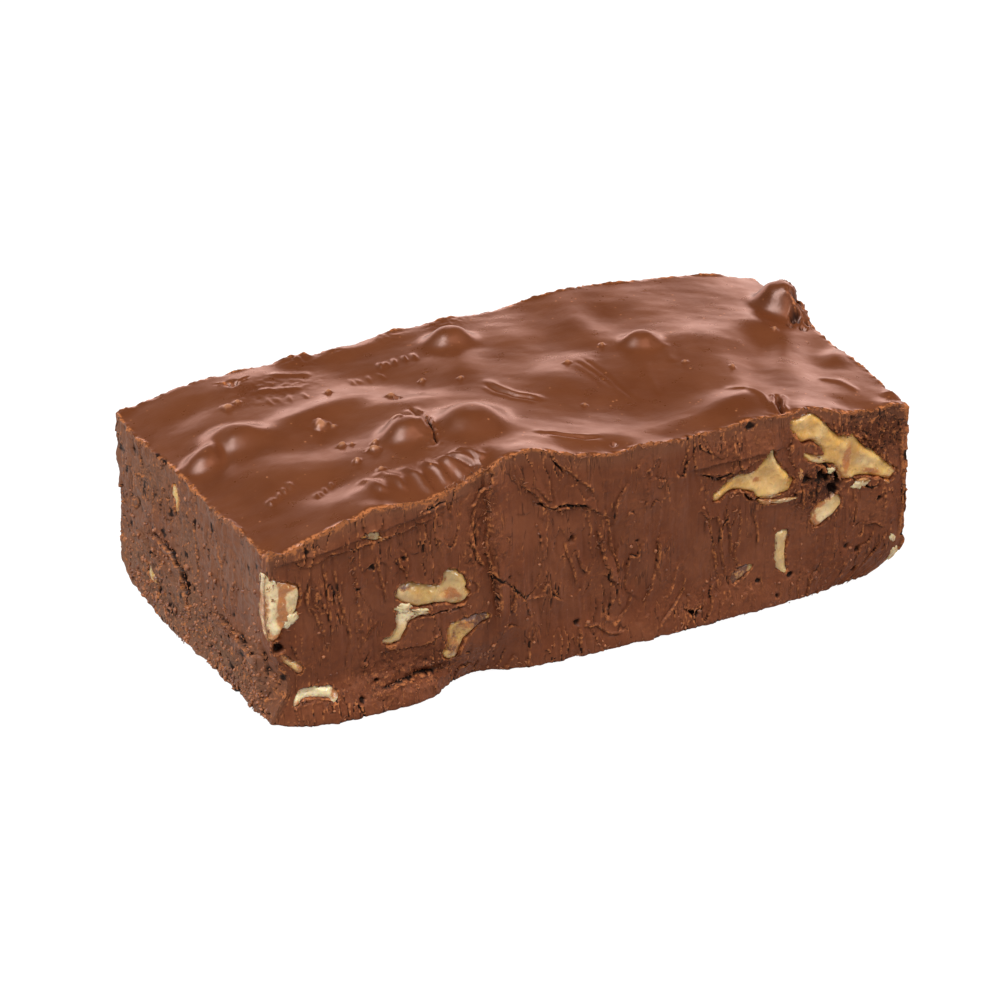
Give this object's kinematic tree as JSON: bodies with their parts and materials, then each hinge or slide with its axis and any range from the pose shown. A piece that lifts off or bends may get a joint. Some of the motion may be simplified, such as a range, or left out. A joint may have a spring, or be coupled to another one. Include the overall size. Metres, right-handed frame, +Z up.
{
  "type": "chocolate walnut fudge slice",
  "caption": "Thick cut slice of chocolate fudge with a glossy lumpy top and walnut pieces showing in its cut sides.",
  "frame": {"origin": "middle of the slice's bounding box, at the height of its flat base", "axes": "+X along the slice towards the end with the torn knob, +Y from the front cut face with the large walnut pieces to the back, +Z up through the glossy top"},
  "size_m": [0.113, 0.0612, 0.0376],
  "materials": {
    "fudge": "chocolate fudge, waxy and dragged at the cut sides, glossy on top",
    "walnut": "cut walnut flesh, pale cream to straw, with brown skin at its rims"
  },
  "bodies": {
    "root": {"fudge": "fudge", "walnut_back_corner": "walnut", "walnut_back_left": "walnut", "walnut_back_low": "walnut", "walnut_back_middle": "walnut", "walnut_back_right": "walnut", "walnut_back_shard": "walnut", "walnut_centre_crumbled": "walnut", "walnut_centre_smeared": "walnut", "walnut_centre_waisted": "walnut", "walnut_corner_small": "walnut", "walnut_corner_tall": "walnut", "walnut_end_back": "walnut", "walnut_end_front": "walnut", "walnut_foot_shard": "walnut", "walnut_left_chip": "walnut", "walnut_left_low": "walnut", "walnut_right_buried": "walnut", "walnut_right_large": "walnut", "walnut_right_peaked": "walnut", "walnut_right_skinned": "walnut", "walnut_right_sliver": "walnut", "walnut_under_rim": "walnut"}
  },
  "joints": []
}
